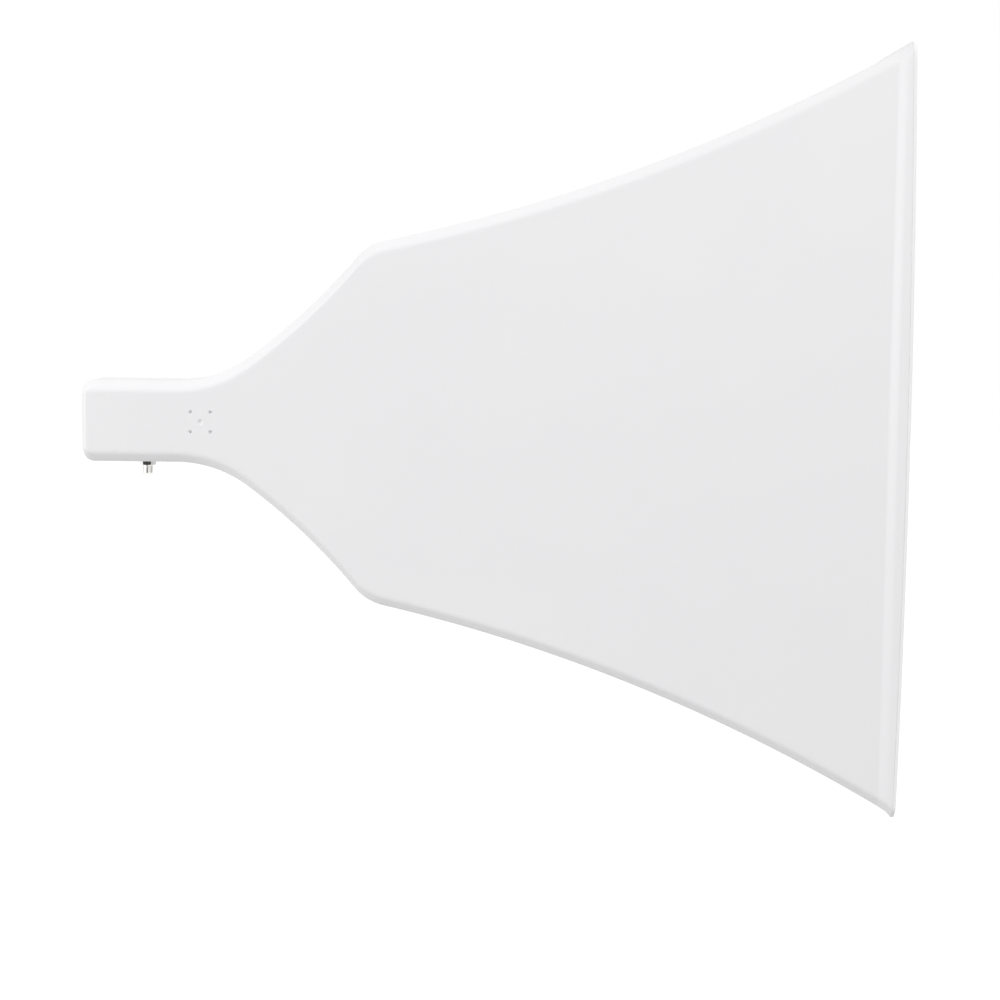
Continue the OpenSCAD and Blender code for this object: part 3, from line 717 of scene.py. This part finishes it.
LOCK_T = 0.7 * MM
NUT_T = 2.4 * MM
NUT_END = GUIDE_IN + LOCK_T + NUT_T
BARREL_OUT = 5.4 * MM
BARREL_LEN = NUT_END + BARREL_OUT
BARREL_EASE = 0.5 * MM
BORE_R = 2.05 * MM
SOCKET_R = 2.3 * MM
SOCKET_DEPTH = 3.6 * MM
SOCKET_EASE = 0.1 * MM
FLANGE_R = 5 * MM
FLANGE_T = 1.5 * MM
PORT_PITCH = 0.706 * MM
PORT_THREAD_DEPTH = 0.35 * MM
PORT_THREAD_START = NUT_END + 0.2 * MM
PORT_THREAD_END = BARREL_LEN - 0.9 * MM


def make_barrel(end, place):
    """Turned coaxial barrel with its flange, its fine thread beyond the nut and its open end."""
    socket_floor = BARREL_LEN - SOCKET_DEPTH
    flange = [(BORE_R, -FLANGE_T), (FLANGE_R, -FLANGE_T), (FLANGE_R, 0), (BARREL_R, 0)]
    tip = [(BARREL_R - 0.1 * MM, BARREL_LEN - BARREL_EASE), (BARREL_R - BARREL_EASE, BARREL_LEN),
           (SOCKET_R + SOCKET_EASE, BARREL_LEN), (SOCKET_R, BARREL_LEN - SOCKET_EASE),
           (SOCKET_R, socket_floor), (BORE_R, socket_floor), (BORE_R, -FLANGE_T)]
    bm = bmesh.new()
    lathe(bm, flange + thread(PORT_THREAD_START, PORT_THREAD_END, BARREL_R, PORT_THREAD_DEPTH,
                              PORT_PITCH) + tip, place, segments=60)
    barrel = piece(end + "_port_threaded", mesh_from(bm, end + "_port_threaded"), PORT_METAL)
    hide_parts(end + "_port_barrel")


EAR_Y = 15 * MM
BOLT_SPAN = 96 * MM
BOLT_RISE = 32 * MM
BOLT_R = 4 * MM
BOLT_LEN = 2 * EAR_Y + 12 * MM
BOLT_EASE = 0.5 * MM
BOLT_AF = 13 * MM
BOLT_HEAD = 5.28 * MM
HEAD_FACE_R = 0.94 * BOLT_AF / 2
HEAD_CHAMFER_R = 0.99 * BOLT_AF / 2
HEAD_FACE_EASE = 0.25 * MM
HEAD_CHAMFER = 0.9 * MM
BOLT_PITCH = 1.25 * MM
BOLT_THREAD_DEPTH = 0.7 * MM
BOLT_THREAD_START = 12 * MM
BOLT_THREAD_END = BOLT_LEN - 0.8 * MM


def make_clamp_bolts():
    """Four hexagon bolts with chamfered heads and threads that go through both jaws."""
    corner = BOLT_AF / 2 / math.cos(math.pi / 6)
    head = [(0, -BOLT_HEAD), (HEAD_FACE_R, -BOLT_HEAD),
            (hexagon(BOLT_AF, HEAD_CHAMFER_R), HEAD_FACE_EASE - BOLT_HEAD),
            (hexagon(BOLT_AF, corner), HEAD_CHAMFER - BOLT_HEAD), (hexagon(BOLT_AF, corner), 0),
            (BOLT_R, 0)]
    shank = thread(BOLT_THREAD_START, BOLT_THREAD_END, BOLT_R, BOLT_THREAD_DEPTH, BOLT_PITCH)
    tip = [(BOLT_R - 0.3 * MM, BOLT_LEN - BOLT_EASE), (BOLT_R - 0.8 * MM, BOLT_LEN),
           (0, BOLT_LEN)]
    bm = bmesh.new()
    for sx, sz in itertools.product(SIGNS, SIGNS):
        place = Matrix.Translation((sx * BOLT_SPAN / 2, -EAR_Y, sz * BOLT_RISE / 2)) \
            @ Matrix.Rotation(-math.pi / 2, 4, "X")
        lathe(bm, head + shank + tip, place)
    bolts = piece("clamp_bolts_threaded", mesh_from(bm, "clamp_bolts_threaded"), STEEL)
    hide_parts("clamp_bolts")


CAST_EDGE = 0.8 * MM
CAST_EDGE_STEPS = 3
CAST_EDGE_ANGLE = math.radians(35)
FLAT_ANGLE = math.radians(1)


def soften_castings():
    """Rounds the edges of the mount's castings as die casting leaves them."""
    for name in ("mount_arm", "clamp_jaw"):
        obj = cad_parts[name]
        flat = obj.modifiers.new("flat", "DECIMATE")
        flat.decimate_type = "DISSOLVE"
        flat.angle_limit = FLAT_ANGLE
        bevel = obj.modifiers.new("edges", "BEVEL")
        bevel.width = CAST_EDGE
        bevel.segments = CAST_EDGE_STEPS
        bevel.limit_method = "ANGLE"
        bevel.angle_limit = CAST_EDGE_ANGLE
        bevel.harden_normals = True


make_shells()
make_pad()
make_radome()
finish_nodes()
make_barrel("lower", LOWER_PORT)
make_barrel("side", SIDE_PORT)
make_clamp_bolts()
soften_castings()

# ---- Camera ----

# Width of the frame and focal length, both in pixels
PHOTO_SIZE = 1000
FOCAL = 2300
CAMERA_DISTANCE = 1324 * MM
CAMERA_PITCH = math.radians(5.26)
CAMERA_ROLL = math.radians(0.72)
CAMERA_AIM = Vector((5.6, -145, -44)) * MM


def make_camera():
    """Long lens that looks along +y and slightly down."""
    data = bpy.data.cameras.new("camera")
    data.lens = data.sensor_width * FOCAL / PHOTO_SIZE
    camera = add_object("camera", data)
    forward = Vector((0, math.cos(CAMERA_PITCH), -math.sin(CAMERA_PITCH)))
    level_right = Vector((1, 0, 0))
    level_up = level_right.cross(forward)
    right = level_right * math.cos(CAMERA_ROLL) + level_up * math.sin(CAMERA_ROLL)
    up = level_up * math.cos(CAMERA_ROLL) - level_right * math.sin(CAMERA_ROLL)
    place = CAMERA_AIM - forward * CAMERA_DISTANCE
    camera.matrix_world = Matrix((
        (right.x, up.x, -forward.x, place.x), (right.y, up.y, -forward.y, place.y),
        (right.z, up.z, -forward.z, place.z), (0, 0, 0, 1)))
    bpy.context.scene.camera = camera


# ---- Light and floor ----

WORLD_LEVEL = 0.69
WORLD_LEAN = (0.54, 0.0, 0.46)


def ray_share(tree, *kinds):
    """1 for rays of the given kinds and 0 for all others."""
    path = add_node(tree, "ShaderNodeLightPath")
    share = path.outputs[kinds[0]]
    for kind in kinds[1:]:
        either = add_node(tree, "ShaderNodeMath", {0: share, 1: path.outputs[kind]},
                          operation="MAXIMUM")
        share = either.outputs[0]
    return share


def make_world():
    """Pale surround that brightens along its lean. The camera and mirrors see plain white."""
    world = bpy.data.worlds.new("studio")
    bpy.context.scene.world = world
    world.use_nodes = True
    tree = world.node_tree
    direction = add_node(tree, "ShaderNodeTexCoord").outputs["Generated"]
    lean = add_node(tree, "ShaderNodeVectorMath", {0: direction, 1: WORLD_LEAN},
                    operation="DOT_PRODUCT")
    level = add_node(tree, "ShaderNodeMath",
                     {0: lean.outputs["Value"], 1: WORLD_LEVEL, 2: WORLD_LEVEL},
                     operation="MULTIPLY_ADD")
    seen = ray_share(tree, "Is Camera Ray", "Is Transmission Ray", "Is Glossy Ray")
    mix = add_node(tree, "ShaderNodeMix", {"Factor": seen, "A": level.outputs[0], "B": 1.0},
                   data_type="FLOAT")
    background = tree.nodes["Background"]
    tree.links.new(mix.outputs["Result"], background.inputs["Strength"])
    background.inputs["Color"].default_value = (1, 1, 1, 1)


LAMP_AIM = Vector((0.05, -POLE_OFFSET, 0.0))


def area_light(name, place, size, watts):
    """Square lamp, aimed into the horn's flare."""
    data = bpy.data.lights.new(name, "AREA")
    data.energy = watts
    data.size = size
    light = add_object(name, data)
    light.location = place
    light.rotation_mode = "QUATERNION"
    light.rotation_quaternion = (LAMP_AIM - Vector(place)).to_track_quat("-Z", "Y")


def add_quad(name, corners, material):
    """A new flat object with four corners."""
    mesh = bpy.data.meshes.new(name)
    mesh.from_pydata(corners, [], [(0, 1, 2, 3)])
    mesh.materials.append(material)
    return add_object(name, mesh)


FLOOR_Z = -0.75
FLOOR_HALF = 12.0
FLOOR_GREY = (0.56, 0.56, 0.56, 1)
FLOOR_GLOW = 1.22
FLOOR_GLOW_SHARE = 0.8


def make_floor():
    """Wide matte floor that camera and mirrors see as almost white, with the shadow kept."""
    material = bpy.data.materials.new("floor_white")
    material.use_nodes = True
    tree = material.node_tree
    tree.nodes.remove(tree.nodes["Principled BSDF"])
    matte = add_node(tree, "ShaderNodeBsdfDiffuse", {"Color": FLOOR_GREY})
    glow = add_node(tree, "ShaderNodeEmission", {"Strength": FLOOR_GLOW})
    seen = ray_share(tree, "Is Camera Ray", "Is Glossy Ray")
    share = add_node(tree, "ShaderNodeMath", {0: seen, 1: FLOOR_GLOW_SHARE},
                     operation="MULTIPLY")
    mix = add_node(tree, "ShaderNodeMixShader",
                   {0: share.outputs[0], 1: matte.outputs[0], 2: glow.outputs[0]})
    tree.links.new(mix.outputs[0], tree.nodes["Material Output"].inputs["Surface"])
    half = FLOOR_HALF
    floor = add_quad("floor", [(-half, -half, FLOOR_Z), (half, -half, FLOOR_Z),
                               (half, half, FLOOR_Z), (-half, half, FLOOR_Z)], material)


CARD_LEFT = -0.90
CARD_RIGHT = 0.02
CARD_Y = -1.90
CARD_TOP = 0.90
CARD_BLACK = (0.02, 0.02, 0.02, 1)


def make_card():
    """Black card beside the camera that only mirrors see."""
    material = bpy.data.materials.new("card_black")
    material.use_nodes = True
    shader = material.node_tree.nodes["Principled BSDF"]
    shader.inputs["Base Color"].default_value = CARD_BLACK
    card = add_quad("black_card", [
        (CARD_LEFT, CARD_Y, FLOOR_Z), (CARD_RIGHT, CARD_Y, FLOOR_Z),
        (CARD_RIGHT, CARD_Y, CARD_TOP), (CARD_LEFT, CARD_Y, CARD_TOP)], material)
    card.visible_camera = False
    card.visible_diffuse = False
    card.visible_shadow = False


make_camera()
make_world()
make_floor()
make_card()
area_light("key", (0.20, -1.00, 0.45), size=0.5, watts=1.38)
area_light("left", (-1.60, -0.90, 0.30), size=0.8, watts=10.6)
bpy.context.scene.view_settings.view_transform = "Standard"
